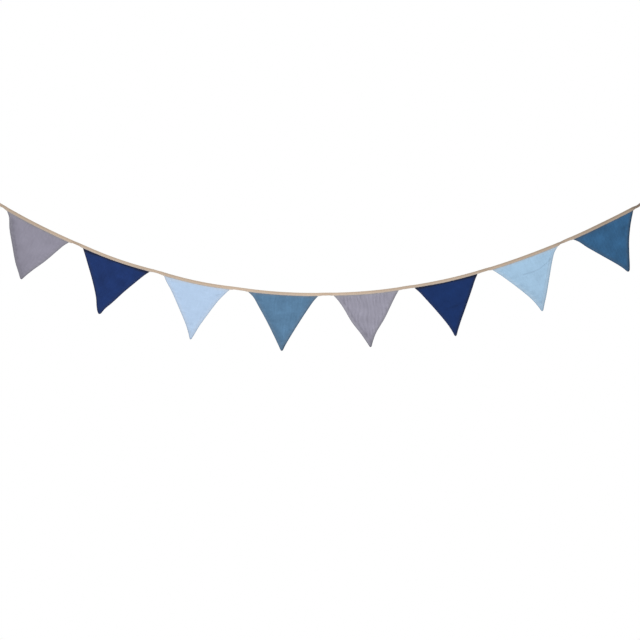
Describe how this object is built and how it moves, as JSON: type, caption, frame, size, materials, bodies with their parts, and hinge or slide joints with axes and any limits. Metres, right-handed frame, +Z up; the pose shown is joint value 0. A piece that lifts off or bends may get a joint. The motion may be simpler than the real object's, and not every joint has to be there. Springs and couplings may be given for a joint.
{
  "type": "fabric bunting",
  "caption": "Fabric bunting: soft triangular cotton pennants in greys and blues, held by a folded bias tape that hangs in a shallow curve.",
  "frame": {"origin": "the fold of the tape at its left end, seen from the front", "axes": "+X across the span to the tape's right end, -Y towards the viewer, +Z up"},
  "size_m": [1.9794, 0.0186, 0.4659],
  "materials": {
    "beige_tape": "matt woven cotton bias tape",
    "grey_cotton": "matt soft cotton muslin",
    "navy_cotton": "matt soft cotton muslin",
    "light_blue_cotton": "matt soft cotton muslin",
    "petrol_cotton": "matt soft cotton muslin"
  },
  "bodies": {
    "root": {"tape": "beige_tape", "pennant_1": "grey_cotton", "pennant_2": "navy_cotton", "pennant_3": "light_blue_cotton", "pennant_4": "petrol_cotton", "pennant_5": "grey_cotton", "pennant_6": "navy_cotton", "pennant_7": "light_blue_cotton", "pennant_8": "petrol_cotton"}
  },
  "joints": []
}
